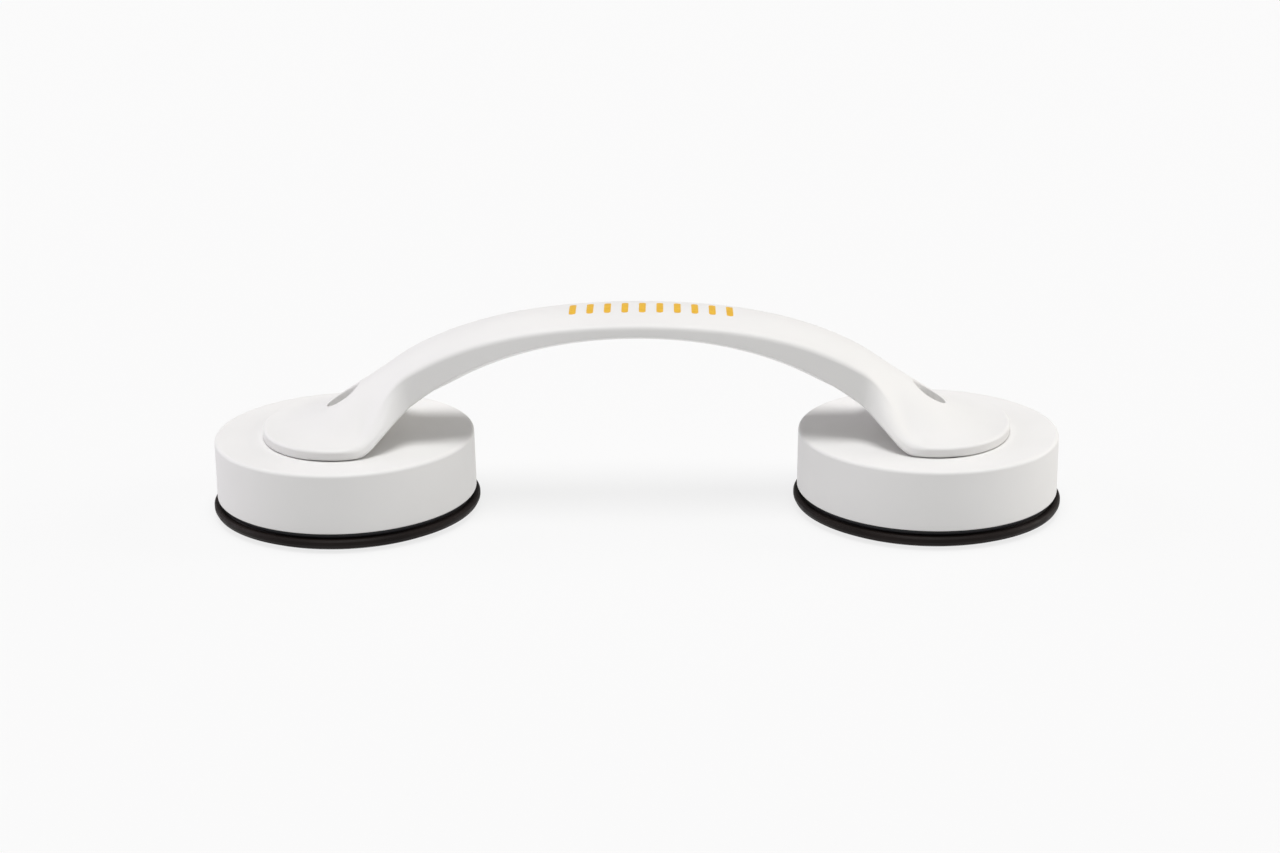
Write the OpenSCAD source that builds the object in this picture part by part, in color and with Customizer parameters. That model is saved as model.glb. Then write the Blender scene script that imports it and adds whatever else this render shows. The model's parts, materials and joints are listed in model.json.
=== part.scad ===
// Suction grab bar: an arched handle on two quarter-turn suction cups.
// X runs along the bar and Z is up. The origin is on the wall plane, midway between the cups.

/* [Handle] */
// Distance between the axes of the two cups
cup_spacing = 200; // [190:5:240]
// Height of the grip's crest above the wall
crest_height = 70; // [66:0.5:76]
// Half of the grip's width at mid-span
grip_half_width = 15.6; // [14:0.2:18]
// How far the grip's rounded underside hangs below its sides
belly_depth = 3.9; // [2:0.1:5]
// Half of a foot's width across the bar
foot_half_width = 31.5; // [28:0.5:34]
// Reach of a foot outward from its cup's axis
foot_outer = 27.8; // [25:0.1:32]
// Reach of a foot inward from its cup's axis
foot_inner = 25.5; // [24:0.1:28]
// Thickness of the handle's top wall
shell_wall = 2; // [1.6:0.1:2.2]

/* [Cups] */
// Outer diameter of the turning housing
housing_d = 89; // [84:1:96]
// Height of the housing's top face above the wall
housing_top_z = 26.9; // [26.9:0.1:28]
// Height of the housing's lower edge above the wall
housing_low_z = 6.3; // [6.3:0.1:7]
// How far the rubber lip stands out past the housing
lip_out = 1.25; // [0.5:0.05:3]

/* [Lock] */
// How far a quarter turn lifts the stud
lift = 3; // [2:0.25:3]
// Diameter of the cross pin
pin_d = 3; // [2.5:0.1:3]
// Outer diameter of the fixed tube that the housing turns on
core_d = 16; // [15.6:0.1:16.4]

/* [Hidden] */
$fn = 96;

// Clearances
turn_gap = 0.1;      // radial play of a turning or sliding fit
seat_gap = 0.05;     // play between faces that rest on each other
foot_gap = 0.3;      // from a housing's top face to the foot above it
cut = 1;             // how far a cutter runs past the face it opens

// Side profile of the arch, as falls below the crest over the distance t = |x| / cup_x
cup_x = cup_spacing / 2;
round_fall = 12.7;   // fall that grows with t squared
steep_fall = 19.45;  // fall that grows with t to the fourth
ramp_from = 0.84;    // where the arch turns into a straight ramp
crown_mid = 1.15;    // crest above the top edge at mid-span
crown_grow = 3.9;    // how much more it stands above it at the cup's axis
grip_depth = 5.75;   // crest above the lower side edge at mid-span
under_round = 31.8;  // fall of the lower side edge with t squared
under_steep = 17.8;  // and with t to the fourth
grip_taper = 0.3;    // narrowing of each side of the grip by the cup's axis
belly_from = 0.6;    // where the underside's bulge begins to fade
belly_to = 0.85;     // where it has gone

// Foot of the handle
foot_base_z = housing_top_z + foot_gap;
foot_band = 3.6;     // height of the foot's side
foot_dish = 0.4;     // how far the foot's top dips below its rim
ramp_blend = 8;      // softness where the ramp meets the foot's top
under_blend = 3;     // softness where the lower edge meets the foot's base
plan_blend = 6;      // softness where the grip meets the foot in plan
fade_from = 0.76;    // where the grip's top edge begins to fade into the foot
fade_to = 0.97;      // where it has gone
edge_round = 1.9;    // rounding of the grip's top edge
low_round = 0.9;     // rounding of its lower edge
low_round_least = 0.4; // and at the foot
foot_steps = [1, 0.92, 0.83, 0.72, 0.5, 0.25, 0];
crown_steps = [0.66, 0.33, 0];

// Lower cover and the hollow that it closes
cover_wall = 1.5;
side_wall = 3.15;
cover_inset = side_wall + 0.15;
cover_gap = 0.2;     // from the cover up to the shell's ribs; the ceiling is at least twice as far
belly_steps = [0, 0.35, 0.7, 1];
rib_wall = 1.6;
rib_places = [-0.76, -0.46, 0.46, 0.76];
root_rib_from = 0.8;
root_boss_r = 10;

// Cover screws, M3 x 6, square to the grip
cover_screw_places = [-0.62, -0.3, 0.3, 0.62];
cover_screw_r = 1.45;
cover_screw_length = 6;
cover_head_r = 2.7;
cover_head_h = 1.6;
cover_head_seat = 1.9;   // depth of the head's seat above the belly
cover_pad_h = 3.4;       // height of the pad round each screw
cover_pad_r = 4.5;
screw_post_r = 3.6;

// Centre screw, M5 x 8, and its washer
screw_r = 2.48;
screw_length = 8;
screw_head_r = 4.25;
screw_head_h = 2.6;
screw_socket_flats = 4;
screw_hole_r = 2.7;
washer_h = 0.8;
washer_r = 5;
access_r = 5.5;
screw_seat_z = foot_base_z + 4.4;

// Guide core
core_r = core_d / 2;
core_low_z = 9.8;
core_flange_r = 11;
core_flange_h = 1.6;
core_roof_z = 23.6;
spigot_flats = 11;
spigot_h = 2;
spigot_gap = 0.1;
stud_r = 6;

// Stud, pin and spring
stud_low_z = 2.9;
stud_flange_r = 7;
stud_flange_h = 1.4;
stud_neck_r = 4;
stud_shoulder_z = 6.6;
stud_top_z = 19.5;
stud_pocket_z = 17.6;
stud_pocket_r = 4.8;
bond_gap = 0.02;
pin_r = pin_d / 2;
pin_z = 15.5;
pin_length = 25;
slot_r = pin_r + 0.15;
spring_r = 3.9;
wire_r = 0.45;
spring_turns = 4;
spring_steps = 16;   // rings a turn
wire_sides = 8;

// Cam ring, washers and slip ring
cam_low_z = 12;
cam_r = 13;
cam_top_z = housing_top_z - 2.6;
cam_slot_half = slot_r + 0.07;
cam_slot_steps = 24;
quarter = 90;
key_w = 3;
key_out = 1.4;
key_gap = 0.1;
thrust_h = 0.5;
thrust_r = 12.6;
friction_h = 1;
friction_r = 12.8;
slip_r = housing_d / 2 - 1.3;
slip_low_z = 4.6;
slip_h = 1.4;

// Housing
housing_r = housing_d / 2;
housing_wall = 2.5;
housing_draft = 0.2;
housing_round = 1.3;
housing_plate_z = housing_top_z - housing_wall;
hub_r = 15.5;
hub_low_z = 11.5;
recess_r = 13;
recess_z = foot_base_z - friction_h - 2 * seat_gap;
rib_count = 8;
rib_low_z = 18;

// Rubber disc
disc_r = housing_r + lip_out;
disc_dome = 1.2;
seal_inner_r = housing_r - 8.5;
boss_r = 9;
boss_top_z = 6.4;
web_z = 3.6;
lip_top_z = 4.5;

// ---- shapes shared by several parts ----

// The larger of two values, rounded over where they are within k of each other
function blend_max(a, b, k) = max(a, b) + pow(max(k - abs(a - b), 0), 2) / (4 * k);
function clamp01(v) = min(max(v, 0), 1);
function ease(v) = let (c = clamp01(v)) c * c * (3 - 2 * c);
function mix(a, b, m) = a * (1 - m) + b * m;

function centre(loop) = [for (c = [0:2]) [for (p = loop) p[c]] * [for (p = loop) 1] / len(loop)];

// A solid through closed loops that all have the same number of points
module loft(loops) {
    n = len(loops[0]);
    last = (len(loops) - 1) * n;
    sides = [for (i = [0:len(loops) - 2], j = [0:n - 1])
        let (a = i * n + j, b = i * n + (j + 1) % n)
        each [[a, a + n, b + n], [a, b + n, b]]];
    start_cap = [for (j = [0:n - 1]) [last + n, j, (j + 1) % n]];
    end_cap = [for (j = [0:n - 1]) [last + n + 1, last + (j + 1) % n, last + j]];
    polyhedron(
        points = concat([for (l = loops) each l], [centre(loops[0]), centre(loops[len(loops) - 1])]),
        faces = concat(sides, start_cap, end_cap));
}

module ring(outer, inner, low, high) {
    difference() {
        translate([0, 0, low]) cylinder(r = outer, h = high - low);
        translate([0, 0, low - cut]) cylinder(r = inner, h = high - low + 2 * cut);
    }
}

module hexagon_post(flats, low, high)
    translate([0, 0, low]) cylinder(r = flats / 2 / cos(30), h = high - low, $fn = 6);

module at_left() translate([-cup_x, 0, 0]) children();
module at_right() translate([cup_x, 0, 0]) children();

// ---- the handle's form ----

function arch_fall(t) = round_fall * pow(t, 2) + steep_fall * pow(t, 4);
function arch_slope(t) = 2 * round_fall * t + 4 * steep_fall * pow(t, 3);
function ramp_z(t) = crest_height
    - (t < ramp_from ? arch_fall(t) : arch_fall(ramp_from) + arch_slope(ramp_from) * (t - ramp_from));
function crest_z(t) = blend_max(ramp_z(t), foot_base_z + foot_band - foot_dish, ramp_blend);
function edge_z(t) = ramp_z(t) - crown_mid - crown_grow * t * t;
function under_z(t) = blend_max(
    crest_height - grip_depth - under_round * t * t - under_steep * pow(t, 4),
    foot_base_z, under_blend);
function belly(t) = belly_depth * (1 - ease((t - belly_from) / (belly_to - belly_from)));
function belly_slope(t) = (2 * under_round * t + 4 * under_steep * pow(t, 3)) / cup_x;

// Half-width in plan, drawn in by inset
function foot_half(x, inset) =
    let (u = abs(x) - cup_x, v = u / ((u > 0 ? foot_outer : foot_inner) - inset))
    v * v < 1 ? (foot_half_width - inset) * sqrt(1 - v * v) : 0;
function grip_half(t, inset) = grip_half_width - inset - grip_taper * t * t;
function half_width(x, inset) = abs(x) > cup_x
    ? foot_half(x, inset)
    : blend_max(foot_half(x, inset), grip_half(abs(x) / cup_x, inset), plan_blend);

// Places along the bar where a section is drawn, closest at the feet
function right_places(inset) = concat(
    [for (i = [1:8]) cup_x * fade_from * i / 8],
    [for (i = [1:8]) cup_x * mix(fade_from, 1, i / 8)],
    [for (a = [14:14:84]) cup_x + (foot_outer - inset) * sin(a)]);
function places(inset) = let (r = right_places(inset))
    concat([for (i = [len(r) - 1:-1:0]) -r[i]], [0], r);

// Rounding of the lower edge where the side above it is this high
function lower_round(side) = min(low_round, max(0.3 * side, low_round_least));

// Half of a section's top, from its side up to the crest: a crowned grip, and a swell on the foot
function grip_top(w, top_w, low, edge, crest, r) = concat(
    [[w, low], [top_w, edge - r]],
    [for (a = [45, 90]) [top_w - r + r * cos(a), edge - r + r * sin(a)]],
    [for (k = crown_steps) [k * (top_w - r), crest - (crest - edge) * k * k]]);
function foot_top(w, low, crest) =
    [for (v = foot_steps) [v * w, low + (crest - low) * pow(1 - v * v, 2)]];
function top_curve(x, inset, drop) =
    let (t = abs(x) / cup_x, w = half_width(x, inset), low = under_z(t), side = edge_z(t) - low,
        round_low = lower_round(side),
        round_top = min(edge_round, 0.6 * side) * (drop > 0 ? 0.5 : 1),
        grip = grip_top(w, min(w, grip_half(t, inset)), low + round_low,
            edge_z(t) - drop, crest_z(t) - drop, round_top),
        foot = foot_top(w, low + foot_band - drop, crest_z(t) - drop),
        m = ease((t - fade_from) / (fade_to - fade_from)))
    m == 1 ? foot : [for (i = [0:len(foot) - 1]) mix(grip[i], foot[i], m)];

// Both halves of a section as one closed loop of points at x
function both_sides(x, half) = concat(
    [for (p = half) [x, p[0], p[1]]],
    [for (i = [len(half) - 2:-1:1]) [x, -half[i][0], half[i][1]]]);

function outer_loop(x) =
    let (t = abs(x) / cup_x, w = half_width(x, 0), low = under_z(t),
        r = min(lower_round(edge_z(t) - low), w))
    both_sides(x, concat(
        [[0, low], [w - r, low], [w - r + r * cos(45), low + r - r * sin(45)]],
        top_curve(x, 0, 0)));

function cover_low(x, y, w) = let (t = abs(x) / cup_x, k = y / w) under_z(t) - belly(t) * (1 - k * k);

function hollow_loop(x) =
    let (w = half_width(x, side_wall), low = under_z(abs(x) / cup_x) - cut)
    both_sides(x, concat(
        [[0, low], [w / 2, low], [w, low]],
        [for (p = top_curve(x, side_wall, shell_wall))
            [p[0], max(p[1], cover_low(x, p[0], w) + cover_wall + 2 * cover_gap)]]));

// A section of the cover, from below its lower face to above it
function cover_loop(x, below, above) =
    let (w = half_width(x, cover_inset), n = len(belly_steps),
        low = [for (k = belly_steps) [x, k * w, cover_low(x, k * w, w)]],
        across = concat([for (i = [n - 1:-1:1]) [x, -low[i][1], low[i][2]]], low))
    concat([for (p = across) p - [0, 0, below]],
        [for (i = [2 * n - 2:-1:0]) across[i] + [0, 0, above]]);

// A frame square to the grip's underside at t, with its zero on the belly
module on_belly(t) translate([t * cup_x, 0, cover_low(t * cup_x, 0, 1)])
    rotate([0, sign(t) * atan(belly_slope(abs(t))), 0])
        children();

// ---- handle ----

module cover_slab(below, above)
    loft([for (x = places(cover_inset)) cover_loop(x, below, above)]);

module handle_hollow() {
    difference() {
        loft([for (x = places(side_wall)) hollow_loop(x)]);
        difference() {
            union() {
                for (side = [-1, 1]) {
                    translate([side * cup_x, 0, 0]) cylinder(r = root_boss_r, h = crest_height);
                    translate([side * cup_x * (1 + root_rib_from) / 2, 0, crest_height / 2])
                        cube([cup_x * (1 - root_rib_from), rib_wall, crest_height], center = true);
                }
                for (t = rib_places) translate([t * cup_x, 0, crest_height / 2])
                    cube([rib_wall, 2 * foot_half_width, crest_height], center = true);
            }
            cover_slab(3 * cut, cover_wall + cover_gap);
        }
        for (t = cover_screw_places)
            on_belly(t) translate([0, 0, cover_pad_h + seat_gap])
                cylinder(r = screw_post_r, h = crest_height / 2);
    }
}

module handle_shell() color("whitesmoke") {
    difference() {
        loft([for (x = places(0)) outer_loop(x)]);
        handle_hollow();
        for (side = [-1, 1]) translate([side * cup_x, 0, 0]) {
            translate([0, 0, screw_seat_z]) cylinder(r = access_r, h = crest_height);
            translate([0, 0, foot_base_z]) cylinder(r = screw_hole_r, h = crest_height / 4);
            hexagon_post(spigot_flats + 2 * spigot_gap, foot_base_z - cut,
                foot_base_z + spigot_h + spigot_gap);
        }
        for (t = cover_screw_places)
            on_belly(t) cylinder(r = cover_screw_r + bond_gap,
                h = cover_head_seat + cover_screw_length + 0.3);
    }
}

module lower_cover() color("gainsboro") {
    difference() {
        union() {
            cover_slab(0, cover_wall);
            for (t = cover_screw_places)
                on_belly(t) translate([0, 0, 0.6]) cylinder(r = cover_pad_r, h = cover_pad_h - 0.6);
        }
        for (t = cover_screw_places) on_belly(t) {
            translate([0, 0, -cut]) cylinder(r = cover_head_r + 0.3, h = cut + cover_head_seat);
            cylinder(r = cover_screw_r + 0.15, h = cover_pad_h + cut);
        }
        for (side = [-1, 1]) translate([side * cup_x, 0, 0])
            hexagon_post(spigot_flats + 2 * spigot_gap, foot_base_z - cut,
                foot_base_z + cover_wall + cut);
    }
}

module cover_screws() color("silver") {
    for (t = cover_screw_places) on_belly(t) difference() {
        translate([0, 0, cover_head_seat - cover_head_h]) union() {
            cylinder(r = cover_head_r, h = cover_head_h);
            cylinder(r = cover_screw_r, h = cover_head_h + cover_screw_length);
        }
        for (turn = [0, 90]) rotate([0, 0, turn])
            translate([0, 0, cover_head_seat - cover_head_h])
                cube([3, 0.7, 1.6], center = true);
    }
}

module screw_washer() color("silver") {
    ring(washer_r, screw_hole_r, screw_seat_z, screw_seat_z + washer_h);
}

module centre_screw() color("silver") {
    head_z = screw_seat_z + washer_h;
    difference() {
        union() {
            translate([0, 0, head_z - screw_length]) cylinder(r = screw_r, h = screw_length);
            translate([0, 0, head_z]) cylinder(r = screw_head_r, h = screw_head_h);
        }
        hexagon_post(screw_socket_flats, head_z + 1, head_z + screw_head_h + cut);
    }
}

// ---- one cup, on its own axis ----

module guide_core() color("darkgray") {
    difference() {
        union() {
            translate([0, 0, core_low_z]) cylinder(r = core_flange_r, h = core_flange_h);
            translate([0, 0, core_low_z]) cylinder(r = core_r, h = foot_base_z - core_low_z);
            hexagon_post(spigot_flats, foot_base_z - cut, foot_base_z + spigot_h);
        }
        translate([0, 0, core_low_z - cut])
            cylinder(r = stud_r + turn_gap, h = core_roof_z - core_low_z + cut);
        cylinder(r = screw_r + bond_gap, h = crest_height);
        for (z = [pin_z, pin_z + lift]) translate([0, 0, z])
            rotate([0, 90, 0]) cylinder(r = slot_r, h = 2 * core_flange_r, center = true);
        translate([0, 0, pin_z + lift / 2]) cube([2 * core_flange_r, 2 * slot_r, lift], center = true);
    }
}

// A helical slot cutter from the rest height to the locked height over a quarter turn
module cam_slot() {
    inner = core_r - 0.5;
    outer = cam_r + cut;
    loft([for (i = [0:cam_slot_steps])
        let (a = quarter * i / cam_slot_steps, z = pin_z + lift * i / cam_slot_steps)
        [for (c = [[inner, -1], [inner, 1], [outer, 1], [outer, -1]])
            [c[0] * cos(a), c[0] * sin(a), z + c[1] * cam_slot_half]]]);
    for (end = [0, 1]) rotate([0, 0, quarter * end]) translate([inner, 0, pin_z + lift * end])
        rotate([0, 90, 0]) cylinder(r = slot_r, h = outer - inner);
}

module cam_ring() color("dimgray") {
    difference() {
        union() {
            translate([0, 0, cam_low_z]) cylinder(r = cam_r, h = cam_top_z - cam_low_z);
            translate([0, 0, (cam_low_z + cam_top_z) / 2])
                cube([key_w, 2 * (cam_r + key_out), cam_top_z - cam_low_z], center = true);
        }
        translate([0, 0, cam_low_z - cut]) cylinder(r = core_r + turn_gap, h = crest_height);
        for (turn = [0, 180]) rotate([0, 0, turn]) cam_slot();
    }
}

module housing() color("white") {
    top_r = housing_r - housing_draft;
    difference() {
        union() {
            rotate_extrude() polygon(concat(
                [[core_r + turn_gap, housing_plate_z], [cam_r + seat_gap, housing_plate_z],
                [cam_r + seat_gap, hub_low_z], [hub_r, hub_low_z], [hub_r, housing_plate_z],
                [top_r - housing_wall, housing_plate_z],
                [housing_r - housing_wall, housing_low_z], [housing_r, housing_low_z]],
                [for (a = [0:15:90]) [top_r - housing_round * (1 - cos(a)),
                    housing_top_z - housing_round * (1 - sin(a))]],
                [[recess_r, housing_top_z], [recess_r, recess_z], [core_r + turn_gap, recess_z]]));
            for (i = [0:rib_count - 1]) rotate([0, 0, (i + 0.5) * 360 / rib_count])
                translate([hub_r - 1, -rib_wall / 2, rib_low_z])
                    cube([housing_r - housing_wall - hub_r + 1.5, rib_wall,
                        housing_plate_z - rib_low_z + 0.5]);
        }
        translate([0, 0, (hub_low_z - cut + housing_plate_z) / 2])
            cube([key_w + 2 * key_gap, 2 * (cam_r + key_out + key_gap),
                housing_plate_z - hub_low_z + cut], center = true);
    }
}

module friction_washer() color("ivory") {
    ring(friction_r, core_r + turn_gap, foot_base_z - friction_h - seat_gap, foot_base_z - seat_gap);
}

module thrust_washer() color("ivory") {
    ring(thrust_r, core_r + turn_gap, cam_low_z - thrust_h - seat_gap, cam_low_z - seat_gap);
}

module slip_ring() color([0.16, 0.15, 0.14]) {
    guide_r = housing_r - housing_wall - 0.4;
    ring(slip_r, seal_inner_r + 1, slip_low_z, slip_low_z + slip_h);
    ring(guide_r, guide_r - 2, slip_low_z + slip_h / 2, 10);
}

module stud() color("gray") {
    difference() {
        union() {
            stud_foot(0);
            translate([0, 0, stud_shoulder_z]) cylinder(r = stud_r, h = stud_top_z - stud_shoulder_z);
        }
        translate([0, 0, pin_z]) rotate([0, 90, 0])
            cylinder(r = pin_r + bond_gap, h = 4 * stud_r, center = true);
        translate([0, 0, stud_pocket_z]) cylinder(r = stud_pocket_r, h = stud_top_z);
    }
}

// The stud's flange and neck, which the rubber holds
module stud_foot(grow) {
    translate([0, 0, stud_low_z - grow])
        cylinder(r = stud_flange_r + grow, h = stud_flange_h + 2 * grow);
    translate([0, 0, stud_low_z]) cylinder(r = stud_neck_r + grow, h = stud_shoulder_z - stud_low_z);
}

module suction_disc() color([0.13, 0.11, 0.1]) {
    difference() {
        rotate_extrude() polygon(concat(
            [for (i = [0:6]) let (r = seal_inner_r * i / 6)
                [r, disc_dome * (1 - pow(r / seal_inner_r, 2))]],
            [[disc_r - 4, 0], [disc_r - 2.2, 0.6], [disc_r - 0.5, 1.7], [disc_r, 2.8],
            [disc_r - 0.1, 3.9], [disc_r - 0.6, lip_top_z], [seal_inner_r + 1, lip_top_z],
            [seal_inner_r - 0.5, web_z], [boss_r + 3, web_z], [boss_r, web_z + 0.8],
            [boss_r, boss_top_z], [0, boss_top_z]]));
        stud_foot(bond_gap);
    }
}

module cross_pin() color("silver") {
    translate([0, 0, pin_z]) rotate([0, 90, 0]) cylinder(r = pin_r, h = pin_length, center = true);
}

module return_spring() color("lightgray") {
    rings = spring_turns * spring_steps;
    low = stud_pocket_z + wire_r + seat_gap;
    high = core_roof_z - wire_r - seat_gap;
    loft([for (i = [0:rings])
        let (a = 360 * i / spring_steps, z = low + (high - low) * i / rings)
        [for (j = [0:wire_sides - 1])
            let (b = -360 * j / wire_sides, r = spring_r + wire_r * cos(b))
            [r * cos(a), r * sin(a), z + wire_r * sin(b)]]]);
}

handle_shell();
lower_cover();
cover_screws();
at_left() housing();  // left_housing
at_left() cam_ring();  // left_cam_ring
at_left() guide_core();  // left_guide_core
at_left() friction_washer();  // left_friction_washer
at_left() thrust_washer();  // left_thrust_washer
at_left() slip_ring();  // left_slip_ring
at_left() suction_disc();  // left_suction_disc
at_left() stud();  // left_stud
at_left() cross_pin();  // left_cross_pin
at_left() return_spring();  // left_return_spring
at_left() centre_screw();  // left_centre_screw
at_left() screw_washer();  // left_screw_washer
at_right() housing();  // right_housing
at_right() cam_ring();  // right_cam_ring
at_right() guide_core();  // right_guide_core
at_right() friction_washer();  // right_friction_washer
at_right() thrust_washer();  // right_thrust_washer
at_right() slip_ring();  // right_slip_ring
at_right() suction_disc();  // right_suction_disc
at_right() stud();  // right_stud
at_right() cross_pin();  // right_cross_pin
at_right() return_spring();  // right_return_spring
at_right() centre_screw();  // right_centre_screw
at_right() screw_washer();  // right_screw_washer
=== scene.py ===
"""Suction grab bar: an arched white handle on two quarter-turn suction cups, lying on its rubber discs."""

import json
import math

import bmesh
import bpy
from mathutils import Matrix, Quaternion, Vector


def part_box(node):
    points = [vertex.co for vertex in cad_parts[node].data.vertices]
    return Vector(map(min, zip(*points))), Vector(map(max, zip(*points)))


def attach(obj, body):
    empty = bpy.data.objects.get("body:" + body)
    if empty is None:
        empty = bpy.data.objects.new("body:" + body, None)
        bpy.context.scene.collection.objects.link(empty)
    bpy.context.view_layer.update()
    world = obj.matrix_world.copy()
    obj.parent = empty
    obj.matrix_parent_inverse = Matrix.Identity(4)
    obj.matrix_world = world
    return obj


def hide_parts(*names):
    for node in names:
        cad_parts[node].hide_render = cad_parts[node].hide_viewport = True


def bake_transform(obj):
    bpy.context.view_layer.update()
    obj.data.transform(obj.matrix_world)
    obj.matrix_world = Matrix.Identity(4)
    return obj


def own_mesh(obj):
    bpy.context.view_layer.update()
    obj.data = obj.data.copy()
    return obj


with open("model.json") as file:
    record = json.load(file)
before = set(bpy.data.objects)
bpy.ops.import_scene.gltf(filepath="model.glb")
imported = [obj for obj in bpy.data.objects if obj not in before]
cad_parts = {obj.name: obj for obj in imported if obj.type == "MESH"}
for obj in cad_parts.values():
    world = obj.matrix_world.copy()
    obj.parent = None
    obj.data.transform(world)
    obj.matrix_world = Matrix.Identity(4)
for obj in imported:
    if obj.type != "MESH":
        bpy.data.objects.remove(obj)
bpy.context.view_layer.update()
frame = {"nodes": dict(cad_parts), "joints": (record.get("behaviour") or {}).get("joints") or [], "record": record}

MM = 0.001
TINY = 1e-9
SIDES = {"left": -1, "right": 1}

# ---- places and sizes from the frame ----


def joint(name):
    return next(j for j in frame["joints"] if j["name"] == name)


shell_low, shell_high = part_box("handle_shell")
housing_low, housing_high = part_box("right_housing")
disc_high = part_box("right_suction_disc")[1]
spring_low, spring_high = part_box("right_return_spring")
slip_low, slip_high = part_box("right_slip_ring")
screw_low, screw_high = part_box("right_centre_screw")

CUP_X = joint("right_lock_turn")["pos_m"][0]
CREST = shell_high.z
FOOT_BASE = shell_low.z
FOOT_HALF = shell_high.y
FOOT_OUTER = shell_high.x - CUP_X
HOUSING_R = housing_high.x - CUP_X
HOUSING_TOP = housing_high.z
HOUSING_LOW = housing_low.z
DISC_R = disc_high.x - CUP_X
DISC_TOP = disc_high.z
SLIP_R = slip_high.x - CUP_X

# ---- the handle's form ----
# t is a place along the bar: 0 in the middle and 1 on a cup's axis.

# How far the arch falls from the middle to a cup's axis, in t squared and in t to the fourth
ROUND_FALL = 12.7 * MM
STEEP_FALL = 19.45 * MM
# Where the arch goes over into a straight ramp
RAMP_FROM = 0.84
# Height of the crest above the top edge in the middle, and how much more it is on a cup's axis
CROWN_MID = 1.15 * MM
CROWN_GROW = 3.9 * MM
# The grip's depth in the middle, and how far its underside falls
GRIP_DEPTH = 5.75 * MM
UNDER_ROUND = 31.8 * MM
UNDER_STEEP = 17.8 * MM
# Half the grip's width in the middle, and what it loses towards the cups
GRIP_HALF = 15.6 * MM
GRIP_TAPER = 0.3 * MM
# Depth of the rounded belly below the grip, and where it fades out
BELLY = 3.9 * MM
BELLY_FROM = 0.6
BELLY_TO = 0.85
# The foot's reach towards the middle, the band round its rim, and its dip in the centre
FOOT_INNER = 25.5 * MM
FOOT_BAND = 3.6 * MM
FOOT_DISH = 0.4 * MM
# How softly ramp and foot, underside and foot, and grip and foot in plan run into each other
RAMP_BLEND = 8 * MM
UNDER_BLEND = 3 * MM
PLAN_BLEND = 6 * MM
# Where the grip's section turns into the foot's
FADE_FROM = 0.76
FADE_TO = 0.97
# Rounding of the top and lower edges: the full size, the least, and the most as a share of the side
EDGE_ROUND = 1.9 * MM
EDGE_ROUND_LEAST = 0.8 * MM
EDGE_ROUND_SHARE = 0.6
LOW_ROUND = 0.9 * MM
LOW_ROUND_LEAST = 0.4 * MM
LOW_ROUND_SHARE = 0.3
FOOT_EDGE = 1.1 * MM
# Walls, and the play round the lower cover
SHELL_WALL = 2 * MM
SIDE_WALL = 3.15 * MM
COVER_WALL = 1.5 * MM
COVER_INSET = 3.3 * MM
COVER_GAP = 0.4 * MM

# Rows of half a section: crown, top edge, flank, foot band, lower edge
CROWN_ROWS = 20
EDGE_ROWS = 8
FLANK_ROWS = 12
BAND_ROWS = 5
LOW_ROWS = 5
# The flank's share of the grip's side, and the shares of the foot's width at two row borders
FLANK_SHARE = 0.8
SWELL_AT_CROWN = 0.72
SWELL_AT_EDGE = 0.92
RELAX_PASSES = 4


def blend_max(a, b, k):
    """The larger of two values, rounded over where they are within k of each other."""
    return max(a, b) + max(k - abs(a - b), 0) ** 2 / (4 * k)


def ease(v):
    """A smooth step from 0 to 1."""
    v = min(max(v, 0), 1)
    return v * v * (3 - 2 * v)


def mix(a, b, m):
    return a * (1 - m) + b * m


def arch_fall(t):
    return ROUND_FALL * t**2 + STEEP_FALL * t**4


def ramp_z(t):
    """Height of the arch, which runs straight down from RAMP_FROM on."""
    if t < RAMP_FROM:
        return CREST - arch_fall(t)
    slope = 2 * ROUND_FALL * RAMP_FROM + 4 * STEEP_FALL * RAMP_FROM**3
    return CREST - arch_fall(RAMP_FROM) - slope * (t - RAMP_FROM)


def crest_z(t):
    return blend_max(ramp_z(t), FOOT_BASE + FOOT_BAND - FOOT_DISH, RAMP_BLEND)


def edge_z(t):
    return ramp_z(t) - CROWN_MID - CROWN_GROW * t * t


def under_z(t):
    arch = CREST - GRIP_DEPTH - UNDER_ROUND * t**2 - UNDER_STEEP * t**4
    return blend_max(arch, FOOT_BASE, UNDER_BLEND)


def belly(t):
    return BELLY * (1 - ease((t - BELLY_FROM) / (BELLY_TO - BELLY_FROM)))


def foot_half(x, inset):
    """Half the foot's width at x: an ellipse, with a longer reach outward than inward."""
    u = abs(x) - CUP_X
    v = u / ((FOOT_OUTER if u > 0 else FOOT_INNER) - inset)
    return (FOOT_HALF - inset) * math.sqrt(1 - v * v) if v * v < 1 else 0.0


def grip_half(t, inset):
    return GRIP_HALF - inset - GRIP_TAPER * t * t


def half_width(x, inset):
    if abs(x) > CUP_X:
        return foot_half(x, inset)
    return blend_max(foot_half(x, inset), grip_half(abs(x) / CUP_X, inset), PLAN_BLEND)


def cover_low(x, y, w):
    """Height of the lower cover's outer face, where the cover is w wide to each side."""
    t = abs(x) / CUP_X
    return under_z(t) - belly(t) * (1 - (y / w) ** 2)


def edge_distance(x, y, w, inset):
    """How far a point of the foot's top is from the foot's outline."""
    u = abs(x) - CUP_X
    if u > 0:
        a = FOOT_OUTER - inset
        b = FOOT_HALF - inset
        reach = math.hypot(u / a, y / b)
        steep = math.hypot(u / a**2, y / b**2) / max(reach, TINY)
        return max(1 - reach, 0) / max(steep, TINY)
    step = 0.2 * MM
    slope = (half_width(abs(x) + step, inset) - half_width(abs(x) - step, inset)) / (2 * step)
    return max(w - y, 0) / math.hypot(1, slope)


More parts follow.
